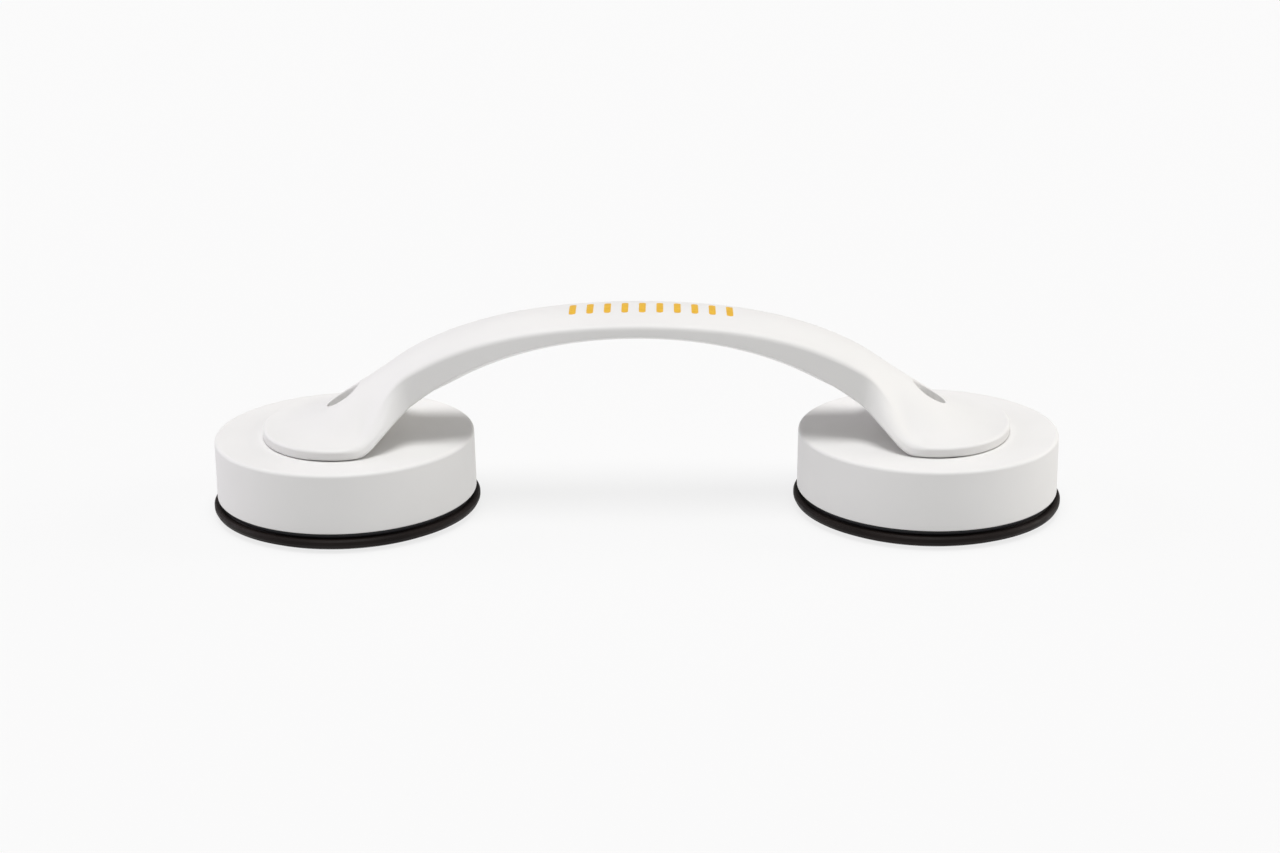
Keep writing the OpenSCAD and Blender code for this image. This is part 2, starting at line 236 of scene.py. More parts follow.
def swell_z(x, v, w, rim, crest, inset):
    """Height of the foot's top at the share v of its half-width."""
    u = max(abs(x) - CUP_X, 0) / (FOOT_OUTER - inset)
    height = rim + (crest - rim) * (1 - v * v) ** 2 * (1 - min(u, 1) ** 6)
    near = max(FOOT_EDGE - edge_distance(x, v * w, w, inset), 0)
    return height - FOOT_EDGE + math.sqrt(max(FOOT_EDGE**2 - near**2, 0))


def bezier(a, b, c, k):
    """The point at k on the curve from a to c that b pulls on."""
    return tuple((1 - k) ** 2 * p + 2 * k * (1 - k) * q + k * k * r for p, q, r in zip(a, b, c))


def line(a, b, n):
    """The n points that divide the way from a to b, with b and without a."""
    return [tuple(mix(p, q, i / n) for p, q in zip(a, b)) for i in range(1, n + 1)]


def grip_rows(w, low, crest, edge, r_top, r_low, top_w):
    """Half a section of the grip: crown, rounded edge, flank and lower edge."""
    flat = top_w - r_top
    slope = 2 * (crest - edge) / flat
    corner = (top_w, edge - slope * r_top)
    rows = [(flat * i / CROWN_ROWS, crest - (crest - edge) * (i / CROWN_ROWS) ** 2)
            for i in range(CROWN_ROWS + 1)]
    side_top = (top_w, edge - r_top * (1 + slope / 2))
    rows += [bezier(rows[-1], corner, side_top, i / EDGE_ROWS) for i in range(1, EDGE_ROWS + 1)]
    side_low = (w, low + r_low)
    middle = tuple(mix(p, q, FLANK_SHARE) for p, q in zip(side_top, side_low))
    return rows + line(side_top, middle, FLANK_ROWS) + line(middle, side_low, BAND_ROWS)


def foot_rows(x, w, low, rim, crest, r_low, inset):
    """Half a section of the foot: a swell that falls to a low band round its rim."""
    shares = [SWELL_AT_CROWN * i / CROWN_ROWS for i in range(CROWN_ROWS + 1)]
    shares += [mix(SWELL_AT_CROWN, SWELL_AT_EDGE, i / EDGE_ROWS) for i in range(1, EDGE_ROWS + 1)]
    plain = FLANK_ROWS // 3
    bend = FLANK_ROWS - plain
    round_from = 1 - FOOT_EDGE / (FOOT_HALF - inset)
    shares += [mix(SWELL_AT_EDGE, round_from, i / plain) for i in range(1, plain + 1)]
    shares += [mix(round_from, 1, math.sin(math.pi / 2 * i / bend)) for i in range(1, bend + 1)]
    rows = [(v * w, swell_z(x, v, w, rim, crest, inset)) for v in shares]
    return rows + line(rows[-1], (w, low + r_low), BAND_ROWS)


def relax(rows, weight):
    """Takes the small kinks out of a mixed section."""
    last = CROWN_ROWS + EDGE_ROWS + FLANK_ROWS
    for _ in range(RELAX_PASSES):
        soft = [tuple((a + 2 * b + c) / 4 for a, b, c in zip(*rows[i - 1:i + 2]))
                for i in range(1, last)]
        mixed = [tuple(mix(a, b, weight) for a, b in zip(rows[i + 1], s)) for i, s in enumerate(soft)]
        rows = [rows[0]] + mixed + rows[last:]
    return rows


def clear_of_cover(rows, x, w):
    """Keeps the top of an inner section above the lower cover."""
    last = CROWN_ROWS + EDGE_ROWS + FLANK_ROWS
    above = [cover_low(x, min(y, w), max(w, MM)) + COVER_WALL + COVER_GAP for y, _ in rows]
    return [(y, max(z, a)) if i <= last else (y, z) for i, ((y, z), a) in enumerate(zip(rows, above))]


def half_section(x, inset=0.0, drop=0.0):
    """Half of the handle's section at x, from its crest down to its lower edge, as (y, z) points."""
    t = abs(x) / CUP_X
    w = half_width(x, inset)
    low = under_z(t)
    side = edge_z(t) - low
    r_low = 0.0 if inset else min(LOW_ROUND, max(LOW_ROUND_SHARE * side, LOW_ROUND_LEAST), w)
    r_top = min(EDGE_ROUND, max(EDGE_ROUND_SHARE * side, EDGE_ROUND_LEAST))
    crest = crest_z(t) - drop
    m = ease((t - FADE_FROM) / (FADE_TO - FADE_FROM))
    foot = grip = None
    if m > 0:
        foot = foot_rows(x, w, low, low + FOOT_BAND - drop, crest, r_low, inset)
    if m < 1:
        grip = grip_rows(w, low, crest, edge_z(t) - drop, r_top, r_low, min(w, grip_half(t, inset)))
    if foot and grip:
        rows = [tuple(mix(a, b, m) for a, b in zip(g, f)) for g, f in zip(grip, foot)]
        rows = relax(rows, 4 * m * (1 - m))
    else:
        rows = foot or grip
    if inset:
        rows = clear_of_cover(rows, x, w)
    for i in range(1, LOW_ROWS + 1):
        a = math.pi / 2 * i / LOW_ROWS
        rows.append((w - r_low * (1 - math.cos(a)), low + r_low * (1 - math.sin(a))))
    return rows


def surface_z(x, y, inset=0.0, drop=0.0):
    """Height of the handle's top at (x, y)."""
    rows = half_section(x, inset, drop)
    for a, b in zip(rows, rows[1:]):
        if b[0] >= abs(y):
            return mix(a[1], b[1], (abs(y) - a[0]) / max(b[0] - a[0], TINY))
    return rows[-1][1]


# ---- mesh helpers ----

# Vertices closer than this are one
MERGE = 1e-7
# Edges bent more than this are shaded sharp
SHARP = math.radians(32)
# The most of a side that the rounding of one of its corners takes
CORNER_REACH = 0.45


def new_piece(name, bm):
    """A smooth-shaded object from a bmesh, closed up and with its faces outward."""
    bmesh.ops.remove_doubles(bm, verts=bm.verts, dist=MERGE)
    bmesh.ops.dissolve_degenerate(bm, edges=bm.edges, dist=MERGE)
    bmesh.ops.recalc_face_normals(bm, faces=bm.faces)
    if bm.calc_volume(signed=True) < 0:
        bmesh.ops.reverse_faces(bm, faces=bm.faces)
    mesh = bpy.data.meshes.new(name)
    bm.to_mesh(mesh)
    bm.free()
    mesh.polygons.foreach_set("use_smooth", [True] * len(mesh.polygons))
    mesh.set_sharp_from_angle(angle=SHARP)
    piece = bpy.data.objects.new(name, mesh)
    bpy.context.scene.collection.objects.link(piece)
    return piece


def bridge(bm, a, b, closed=True):
    """Quads between two rings, or two strips, of the same number of vertices."""
    n = len(a)
    for i in range(n if closed else n - 1):
        j = (i + 1) % n
        corners = [a[i], a[j], b[j], b[i]]
        kept = [v for k, v in enumerate(corners) if v not in corners[:k]]
        if len(kept) > 2:
            bm.faces.new(kept)


def ring_at(bm, radius, z, steps, centre):
    return [bm.verts.new((centre + radius * math.cos(2 * math.pi * i / steps),
                          radius * math.sin(2 * math.pi * i / steps), z)) for i in range(steps)]


def rounded(points, steps=5):
    """A closed outline of (r, z, radius) corners, with each corner rounded by its radius."""
    out = []
    n = len(points)
    for i, (r, z, size) in enumerate(points):
        here = Vector((r, z))
        before = Vector(points[i - 1][:2]) - here
        after = Vector(points[(i + 1) % n][:2]) - here
        if size <= 0:
            out.append(here)
            continue
        half = before.angle(after) / 2
        reach = min(size / math.tan(half), CORNER_REACH * before.length, CORNER_REACH * after.length)
        a = here + before.normalized() * reach
        b = here + after.normalized() * reach
        out += [Vector(bezier(a, here, b, k / steps)) for k in range(steps + 1)]
    return out


def lathe(name, outline, centre, steps=160):
    """A closed outline of (r, z) points turned about the vertical axis at x = centre."""
    bm = bmesh.new()
    rings = []
    for r, z in outline:
        if r < MERGE:
            rings.append([bm.verts.new((centre, 0, z))] * steps)
        else:
            rings.append(ring_at(bm, r, z, steps, centre))
    for i, a in enumerate(rings):
        b = rings[(i + 1) % len(rings)]
        if a[0] is not a[1] or b[0] is not b[1]:
            bridge(bm, a, b)
    return new_piece(name, bm)


def boolean(piece, cutter, operation="DIFFERENCE"):
    """Cuts, or joins, another object into a piece, and removes that object."""
    tool = piece.modifiers.new("cut", "BOOLEAN")
    tool.operation = operation
    tool.solver = "EXACT"
    tool.object = cutter
    bpy.context.view_layer.update()
    shape = piece.evaluated_get(bpy.context.evaluated_depsgraph_get())
    mesh = bpy.data.meshes.new_from_object(shape)
    piece.modifiers.clear()
    piece.data = mesh
    mesh.polygons.foreach_set("use_smooth", [True] * len(mesh.polygons))
    mesh.set_sharp_from_angle(angle=SHARP)
    bpy.data.objects.remove(cutter)
    return piece


def prism(name, sides, radius, low, high, place=Matrix.Identity(4)):
    """An upright prism or cylinder, moved to place."""
    bm = bmesh.new()
    rings = []
    for z in (low, high):
        angles = [2 * math.pi * i / sides for i in range(sides)]
        points = [Vector((radius * math.cos(a), radius * math.sin(a), z)) for a in angles]
        rings.append([bm.verts.new(place @ point) for point in points])
    bridge(bm, rings[0], rings[1])
    bm.faces.new(rings[0])
    bm.faces.new(rings[1])
    return new_piece(name, bm)


def hexagon_radius(across_flats):
    return across_flats / 2 / math.cos(math.radians(30))


# ---- handle shell ----

# The access hole, the rounding of its mouth and of its bottom, and the screw's hole below
ACCESS_R = 5.5 * MM
ACCESS_ROUND = 0.8 * MM
SEAT_ROUND = 0.5 * MM
SCREW_SEAT = FOOT_BASE + 4.4 * MM
SCREW_HOLE_R = 2.7 * MM
# The boss round the access hole inside the shell
BOSS_R = 9.3 * MM
BOSS_LOW = FOOT_BASE + COVER_WALL + COVER_GAP
# Steps along half the grip, one neck and one foot's tip
SPAN_STEPS = 40
NECK_STEPS = 10
TIP_STEPS = 22
# The block left out round each access hole: its steps and rows to each side, and half its length
BLOCK_STATIONS = 9
BLOCK_ROWS = 14
BLOCK_HALF = 11.7 * MM
# Rings from the block's edge to the hole's mouth and to the boss
MOUTH_RINGS = 6
BOSS_RINGS = 4
# Angles of the rings on the mouth's rounding, in degrees
MOUTH_ANGLES = (22.5, 45, 67.5, 90)


def stations(inset):
    """Places along the bar from end to end, closest at the tips of the feet."""
    xs = [CUP_X * FADE_FROM * i / SPAN_STEPS for i in range(SPAN_STEPS)]
    neck = CUP_X * FADE_FROM
    xs += [mix(neck, CUP_X - BLOCK_HALF, i / NECK_STEPS) for i in range(NECK_STEPS)]
    xs += [CUP_X + BLOCK_HALF * i / BLOCK_STATIONS for i in range(-BLOCK_STATIONS, BLOCK_STATIONS)]
    reach = FOOT_OUTER - inset
    start = math.asin(BLOCK_HALF / reach)
    xs += [CUP_X + reach * math.sin(mix(start, math.pi / 2, i / TIP_STEPS)) for i in range(TIP_STEPS + 1)]
    return [-x for x in reversed(xs)] + xs[1:]


AXIS_STATION = SPAN_STEPS + NECK_STEPS + BLOCK_STATIONS


def skin(bm, inset, drop):
    """One skin of the shell, with a block left out round each access hole. Returns its grid."""
    grid = []
    for x in stations(inset):
        half = half_section(x, inset, drop)
        grid.append([bm.verts.new((x, -y, z)) for y, z in reversed(half[1:])]
                    + [bm.verts.new((x, y, z)) for y, z in half])
    middle_row = len(grid[0]) // 2
    middle = len(grid) // 2
    for i in range(len(grid) - 1):
        for j in range(len(grid[0]) - 1):
            near_axis = any(-BLOCK_STATIONS <= i - c < BLOCK_STATIONS
                            for c in (middle - AXIS_STATION, middle + AXIS_STATION))
            if near_axis and -BLOCK_ROWS <= j - middle_row < BLOCK_ROWS:
                continue
            bm.faces.new([grid[i][j], grid[i + 1][j], grid[i + 1][j + 1], grid[i][j + 1]])
    return grid


def block_edge(grid, side):
    """The loop of vertices round the block that was left out, in order."""
    c = len(grid) // 2 + side * AXIS_STATION
    m = len(grid[0]) // 2
    i0, i1, j0, j1 = c - BLOCK_STATIONS, c + BLOCK_STATIONS, m - BLOCK_ROWS, m + BLOCK_ROWS
    return ([grid[i][j0] for i in range(i0, i1)] + [grid[i1][j] for j in range(j0, j1)]
            + [grid[i][j1] for i in range(i1, i0, -1)] + [grid[i0][j] for j in range(j1, j0, -1)])


def ring_on_skin(bm, edge, side, radius, share, inset, drop, sink=0.0):
    """A ring between the block's edge, at share 0, and a circle about the cup's axis, at share 1."""
    ring = []
    for v in edge:
        a = math.atan2(v.co.y, v.co.x - side * CUP_X)
        x = mix(v.co.x, side * CUP_X + radius * math.cos(a), share)
        y = mix(v.co.y, radius * math.sin(a), share)
        ring.append(bm.verts.new((x, y, surface_z(x, y, inset, drop) - sink)))
    return ring


def flat_ring(bm, edge, side, radius, z):
    """A level circle about the cup's axis, with one vertex for each of the block's edge."""
    ring = []
    for v in edge:
        a = math.atan2(v.co.y, v.co.x - side * CUP_X)
        ring.append(bm.verts.new((side * CUP_X + radius * math.cos(a), radius * math.sin(a), z)))
    return ring


def access_hole(bm, outer, inner, side):
    """The hole down to the centre screw, its seat, and the boss beneath it inside the shell."""
    edge = block_edge(outer, side)
    mouth = ACCESS_R + ACCESS_ROUND
    rings = [edge] + [ring_on_skin(bm, edge, side, mouth, k / MOUTH_RINGS, 0, 0)
                      for k in range(1, MOUTH_RINGS + 1)]
    for a in MOUTH_ANGLES:
        out = ACCESS_ROUND * (1 - math.sin(math.radians(a)))
        sink = ACCESS_ROUND * (1 - math.cos(math.radians(a)))
        rings.append(ring_on_skin(bm, edge, side, ACCESS_R + out, 1, 0, 0, sink))
    middle = 0.3 * SEAT_ROUND
    rings.append(flat_ring(bm, edge, side, ACCESS_R, SCREW_SEAT + SEAT_ROUND))
    rings.append(flat_ring(bm, edge, side, ACCESS_R - middle, SCREW_SEAT + middle))
    rings.append(flat_ring(bm, edge, side, ACCESS_R - SEAT_ROUND, SCREW_SEAT))
    rings.append(flat_ring(bm, edge, side, SCREW_HOLE_R, SCREW_SEAT))
    rings.append(flat_ring(bm, edge, side, SCREW_HOLE_R, BOSS_LOW))
    rings.append(flat_ring(bm, edge, side, BOSS_R, BOSS_LOW))
    within = block_edge(inner, side)
    for k in range(BOSS_RINGS, 0, -1):
        rings.append(ring_on_skin(bm, within, side, BOSS_R, k / BOSS_RINGS, SIDE_WALL, SHELL_WALL))
    rings.append(within)
    for a, b in zip(rings, rings[1:]):
        bridge(bm, a, b)


def make_handle_shell():
    bm = bmesh.new()
    outer = skin(bm, 0, 0)
    inner = skin(bm, SIDE_WALL, SHELL_WALL)
    for side in SIDES.values():
        access_hole(bm, outer, inner, side)
    for j in (0, -1):
        bridge(bm, [row[j] for row in outer], [row[j] for row in inner], closed=False)
    return new_piece("handle_shell_body", bm)


# ---- lower cover and its screws ----

# Steps across half the cover, the softening of its edges, and its least half-width at the tips
COVER_STEPS = 14
COVER_EDGE = 0.35 * MM
COVER_LEAST = 0.001 * MM
# The screws' places along the bar, and how deep their heads sit in the cover
COVER_SCREW_PLACES = (-0.62, -0.3, 0.3, 0.62)
COVER_HEAD_SEAT = 1.9 * MM
# Each screw's head, with its domed part, its shank, and the play round both
COVER_HEAD_R = 2.7 * MM
COVER_HEAD_H = 1.6 * MM
COVER_HEAD_DOME = 0.15 * COVER_HEAD_H
COVER_HEAD_SIDE = 0.85 * COVER_HEAD_H
COVER_SCREW_R = 1.45 * MM
COVER_SCREW_LENGTH = 6 * MM
COVER_SEAT_PLAY = 0.3 * MM
COVER_HOLE_PLAY = 0.15 * MM
# The cross in a screw's head
CROSS_WIDTH = 0.7 * MM
CROSS_REACH = 3 * MM
CROSS_DEPTH = 0.8 * MM
# The pad inside the cover round each screw
COVER_PAD_R = 4.5 * MM
COVER_PAD_LOW = 0.6 * MM
COVER_PAD_H = 3.4 * MM
# The hexagonal hole for the guide core's spigot, across flats
SPIGOT_ACROSS = 11.2 * MM


def on_belly(t):
    """A frame square to the grip's underside at t, with its zero on the belly."""
    slope = (2 * UNDER_ROUND * abs(t) + 4 * UNDER_STEEP * abs(t) ** 3) / CUP_X
    turn = Matrix.Rotation(math.copysign(math.atan(slope), t), 4, "Y")
    return Matrix.Translation((t * CUP_X, 0, cover_low(t * CUP_X, 0, 1))) @ turn


def cover_section(x):
    """The cover's section at x: a bellied lower face with softened edges, and a parallel upper face."""
    w = max(half_width(x, COVER_INSET), COVER_LEAST)
    edge = min(COVER_EDGE, w)
    ys = [w * i / COVER_STEPS for i in range(-COVER_STEPS, COVER_STEPS + 1)]
    low = [(y, cover_low(x, y, w)) for y in ys]
    up = [(y, z + COVER_WALL) for y, z in reversed(low)]
    low[0] = (low[0][0], low[0][1] + edge)
    low[-1] = (low[-1][0], low[-1][1] + edge)
    low.insert(1, (edge - w, cover_low(x, w - edge, w)))
    low.insert(-1, (w - edge, cover_low(x, w - edge, w)))
    return low + up


def make_lower_cover():
    bm = bmesh.new()
    sections = [[bm.verts.new((x, y, z)) for y, z in cover_section(x)] for x in stations(COVER_INSET)]
    for a, b in zip(sections, sections[1:]):
        bridge(bm, a, b)
    cover = new_piece("lower_cover_body", bm)
    for t in COVER_SCREW_PLACES:
        place = on_belly(t)
        boolean(cover, prism("pad", 40, COVER_PAD_R, COVER_PAD_LOW, COVER_PAD_H, place), "UNION")
        boolean(cover, prism("seat", 40, COVER_HEAD_R + COVER_SEAT_PLAY, -MM, COVER_HEAD_SEAT, place))
        boolean(cover, prism("hole", 32, COVER_SCREW_R + COVER_HOLE_PLAY, 0, COVER_PAD_H + MM, place))
    for side in SIDES.values():
        place = Matrix.Translation((side * CUP_X, 0, FOOT_BASE))
        boolean(cover, prism("socket", 6, hexagon_radius(SPIGOT_ACROSS), -MM, COVER_WALL + MM, place))
    return cover


def screw(name, shank_r, length, head_r, head_h, dome):
    """A screw with its head below and its shank above, on the Z axis, with the seat at zero."""
    chamfer = 0.3 * shank_r
    outline = rounded([
        (0, -head_h - dome, 0), (head_r * 0.55, -head_h - dome * 0.75, head_r * 0.4),
        (head_r, -head_h * 0.6, head_r * 0.2), (head_r, 0, 0.1 * MM), (shank_r, 0, 0.15 * MM)])
    outline += [Vector((shank_r, length - chamfer)), Vector((shank_r - chamfer, length)),
                Vector((0, length))]
    return lathe(name, outline, 0.0, steps=48)


def cut_cross(piece, low, high):
    """Cuts a cross out of a screw's head."""
    for turn in (0, math.pi / 2):
        arm = box_piece("arm", CROSS_REACH / 2, CROSS_WIDTH / 2, low, high)
        arm.data.transform(Matrix.Rotation(turn, 4, "Z"))
        boolean(piece, arm)


def box_piece(name, half_x, half_y, low, high):
    bm = bmesh.new()
    bmesh.ops.create_cube(bm, size=1)
    bm.transform(Matrix.Diagonal((2 * half_x, 2 * half_y, high - low, 1)))
    bm.transform(Matrix.Translation((0, 0, (low + high) / 2)))
    return new_piece(name, bm)


def make_cover_screws():
    pieces = []
    for k, t in enumerate(COVER_SCREW_PLACES):
        piece = screw(f"cover_screw_{k + 1}", COVER_SCREW_R, COVER_SCREW_LENGTH, COVER_HEAD_R,
                      COVER_HEAD_SIDE, COVER_HEAD_DOME)
        cut_cross(piece, -COVER_HEAD_H - MM, -COVER_HEAD_H + CROSS_DEPTH)
        piece.data.transform(on_belly(t) @ Matrix.Translation((0, 0, COVER_HEAD_SEAT)))
        pieces.append(piece)
    return pieces


# ---- cups ----

# The centre screw: its washer, its shank, its head and the domed share of that
WASHER_THICK = 0.8 * MM
CAP_SHANK_R = 2.48 * MM
CAP_HEAD_R = 4.25 * MM
CAP_DOME = 0.04
# The hexagon in its head: its width across flats, and the metal left below it
CAP_KEY_ACROSS = 4 * MM
CAP_KEY_FLOOR = 1 * MM


def make_centre_screw(side_name, side):
    """The cap screw that holds a cup's fixed core to the handle."""
    washer_top = SCREW_SEAT + WASHER_THICK
    head_h = screw_high.z - washer_top
    piece = screw(side_name + "_cap_screw", CAP_SHANK_R, washer_top - screw_low.z, CAP_HEAD_R,
                  head_h * (1 - CAP_DOME), head_h * CAP_DOME)
    boolean(piece, prism("hexagon", 6, hexagon_radius(CAP_KEY_ACROSS), -head_h - MM, -CAP_KEY_FLOOR))
    upside_down = Matrix.Rotation(math.pi, 4, "X")
    piece.data.transform(Matrix.Translation((side * CUP_X, 0, washer_top)) @ upside_down)
    return piece


# The housing: its wall, the draft of its side, its edges and its top plate
HOUSING_WALL = 2.5 * MM
HOUSING_DRAFT = 0.2 * MM
HOUSING_ROUND = 1.3 * MM
LOWER_EDGE = 0.5 * MM
PLATE_LOW = HOUSING_TOP - HOUSING_WALL
# The hub that holds the cam ring, the ring's key, and the bore for the guide core
HUB_R = 15.5 * MM
HUB_BORE_R = 13.05 * MM
HUB_LOW = 11.5 * MM
KEY_HALF = 1.6 * MM
KEY_DEPTH = 1.5 * MM
CORE_BORE_R = 8.1 * MM
# The recess for the friction washer in the housing's top
RECESS_R = 13 * MM
RECESS_Z = FOOT_BASE - 1.1 * MM
# The ribs between hub and side
RIB_COUNT = 8
RIB_WALL = 1.6 * MM
RIB_LOW = 18 * MM


def make_housing(side_name, side):
    """The turning cup: a deep round cap with a hub and ribs inside."""
    top_r = HOUSING_R - HOUSING_DRAFT
    outline = rounded([
        (CORE_BORE_R, PLATE_LOW, 0.2 * MM), (HUB_BORE_R, PLATE_LOW, 0.2 * MM),
        (HUB_BORE_R, HUB_LOW, 0.4 * MM), (HUB_R, HUB_LOW, 0.4 * MM), (HUB_R, PLATE_LOW, 0.8 * MM),
        (top_r - HOUSING_WALL, PLATE_LOW, 1.2 * MM),
        (HOUSING_R - HOUSING_WALL, HOUSING_LOW, 0.4 * MM), (HOUSING_R, HOUSING_LOW, LOWER_EDGE),
        (top_r, HOUSING_TOP, HOUSING_ROUND), (RECESS_R, HOUSING_TOP, 0.3 * MM),
        (RECESS_R, RECESS_Z, 0.15 * MM), (CORE_BORE_R, RECESS_Z, 0.3 * MM)], steps=8)
    piece = lathe(side_name + "_housing_cap", outline, side * CUP_X, steps=240)
    for i in range(RIB_COUNT):
        boolean(piece, housing_rib(side, (i + 0.5) * 2 * math.pi / RIB_COUNT), "UNION")
    key = box_piece("key", KEY_HALF, HUB_BORE_R + KEY_DEPTH, HUB_LOW - MM, PLATE_LOW)
    key.data.transform(Matrix.Translation((side * CUP_X, 0, 0)))
    return boolean(piece, key)


def housing_rib(side, angle):
    """A rib that runs a little way into the hub, the side and the top plate."""
    start = HUB_R - MM
    end = HOUSING_R - HOUSING_WALL + 0.5 * MM
    rib = box_piece("rib", (end - start) / 2, RIB_WALL / 2, RIB_LOW, PLATE_LOW + 0.5 * MM)
    rib.data.transform(Matrix.Translation(((start + end) / 2, 0, 0)))
    rib.data.transform(Matrix.Translation((side * CUP_X, 0, 0)) @ Matrix.Rotation(angle, 4, "Z"))
    return rib


# The disc: its seal's inner edge, the dome under its middle, its web and the top of its lip
SEAL_R = HOUSING_R - 8.5 * MM
DOME = 1.2 * MM
WEB_Z = 3.6 * MM
LIP_TOP = 4.5 * MM
# The groove round the top of the lip
GROOVE_OUT = DISC_R - 2 * MM
GROOVE_IN = DISC_R - 2.6 * MM
GROOVE_Z = LIP_TOP - 0.35 * MM
# The boss in the middle, moulded round the stud's foot
BOSS_DISC_R = 9 * MM
STUD_FLANGE_R = 7.02 * MM
STUD_NECK_R = 4.02 * MM
STUD_LOW = 2.88 * MM
STUD_FLANGE_TOP = 4.32 * MM
# Where the fixed rim ends and the diaphragm begins, and how thin the diaphragm is there
SPLIT_R = SEAL_R - 0.6 * MM
EDGE_THICK = 0.2 * MM
DIAPHRAGM_STEPS = 26


def dome_z(r):
    """Height of the disc's under face inside the seal."""
    return DOME * (1 - (r / SEAL_R) ** 2)


def make_suction_rim(side_name, side):
    """The disc's outer ring: the rounded lip and the flat seal that presses on the wall."""
    outline = rounded([
        (SPLIT_R, dome_z(SPLIT_R), 0), (SEAL_R + 0.8 * MM, 0, 0.5 * MM), (DISC_R - 4 * MM, 0, 2.5 * MM),
        (DISC_R - 0.6 * MM, 1.6 * MM, 0.8 * MM), (DISC_R, 2.8 * MM, 0.4 * MM),
        (DISC_R, 3.8 * MM, 0.3 * MM), (DISC_R - 0.6 * MM, LIP_TOP, 0.3 * MM),
        (GROOVE_OUT + 0.3 * MM, LIP_TOP, 0.3 * MM), (GROOVE_OUT, GROOVE_Z, 0.25 * MM),
        (GROOVE_IN, GROOVE_Z, 0.25 * MM), (GROOVE_IN - 0.3 * MM, LIP_TOP, 0.3 * MM),
        (SEAL_R + MM, LIP_TOP, 0.3 * MM), (SEAL_R - 0.4 * MM, WEB_Z, 0.3 * MM),
        (SPLIT_R, WEB_Z, 0)], steps=6)
    return lathe(side_name + "_suction_rim", outline, side * CUP_X, steps=240)


def make_diaphragm(side_name, side):
    """The disc's flexible middle, thin at its edge, with the boss that grips the stud's foot."""
    root_r = BOSS_DISC_R + 2 * MM
    under = []
    over = []
    for i in range(DIAPHRAGM_STEPS + 1):
        share = i / DIAPHRAGM_STEPS
        under_r = SPLIT_R * i / DIAPHRAGM_STEPS
        under.append((under_r, dome_z(under_r)))
        over_r = mix(SPLIT_R, root_r, share)
        thick = mix(EDGE_THICK, WEB_Z - DOME, ease(share))
        over.append(Vector((over_r, dome_z(over_r) + thick)))
    over += rounded([
        (root_r, over[-1].y, 0), (BOSS_DISC_R, WEB_Z + 0.8 * MM, 0.8 * MM),
        (BOSS_DISC_R, DISC_TOP, 0.6 * MM), (STUD_NECK_R, DISC_TOP, 0.2 * MM),
        (STUD_NECK_R, STUD_FLANGE_TOP, 0.1 * MM), (STUD_FLANGE_R, STUD_FLANGE_TOP, 0.2 * MM),
        (STUD_FLANGE_R, STUD_LOW, 0.2 * MM), (0, STUD_LOW, 0)])
    return lathe(side_name + "_suction_diaphragm", under + over, side * CUP_X)


# The slip ring's plate, its guide's wall, and the guide's play inside the housing
SLIP_THICK = 1.4 * MM
GUIDE_WALL = 2 * MM
GUIDE_PLAY = 0.4 * MM


def make_slip_ring(side_name, side):
    """The slippery ring between the turning cup and the fixed disc, with its upright guide."""
    low = slip_low.z
    plate = low + SLIP_THICK
    top = slip_high.z
    inner_r = SEAL_R + MM
    guide_r = HOUSING_R - HOUSING_WALL - GUIDE_PLAY
    outline = rounded([
        (inner_r, low, 0.3 * MM), (SLIP_R, low, 0.3 * MM), (SLIP_R, plate, 0.4 * MM),
        (guide_r, plate, 0.2 * MM), (guide_r, top, 0.3 * MM), (guide_r - GUIDE_WALL, top, 0.3 * MM),
        (guide_r - GUIDE_WALL, plate, 0.2 * MM), (inner_r, plate, 0.3 * MM)])
    return lathe(side_name + "_slip_bearing", outline, side * CUP_X, steps=200)


# The return spring: its turns, the radius of its centre line, and its steps in a turn
SPRING_TURNS = 4
SPRING_R = 3.9 * MM
SPRING_STEPS = 28
# How far the end coils are closed up: 0 not at all, 1 fully
SPRING_CLOSING = 0.35
WIRE_R = 0.45 * MM
WIRE_SIDES = 12


def make_spring(side_name, side):
    """The coil spring above the stud, wound round the cup's axis, with its end coils closed up."""
    bm = bmesh.new()
    total = SPRING_TURNS * SPRING_STEPS
    low = spring_low.z + WIRE_R
    high = spring_high.z - WIRE_R
    rings = []
    for i in range(total + 1):
        a = 2 * math.pi * i / SPRING_STEPS
        centre_z = mix(low, high, mix(i / total, ease(i / total), SPRING_CLOSING))
        ring = []
        for j in range(WIRE_SIDES):
            b = 2 * math.pi * j / WIRE_SIDES
            r = SPRING_R + WIRE_R * math.cos(b)
            z = centre_z + WIRE_R * math.sin(b)
            ring.append(bm.verts.new((side * CUP_X + r * math.cos(a), r * math.sin(a), z)))
        rings.append(ring)
    for a, b in zip(rings, rings[1:]):
        bridge(bm, a, b)
    bm.faces.new(rings[0])
    bm.faces.new(rings[-1])
    return new_piece(side_name + "_spring_coil", bm)


# ---- printed marks ----

# The row of marks along the bar, and its middle line across the crown
MARK_FROM = -24 * MM
MARK_TO = 35 * MM
MARK_COUNT = 10
MARK_Y = 2.5 * MM
# One mark's size, its height above the crown, and how far it reaches into it
MARK_LENGTH = 13 * MM
MARK_WIDTH = 2.3 * MM
MARK_RISE = 0.03 * MM
MARK_SINK = 0.05 * MM
MARK_STEPS = 24
MARK_COLUMNS = 3


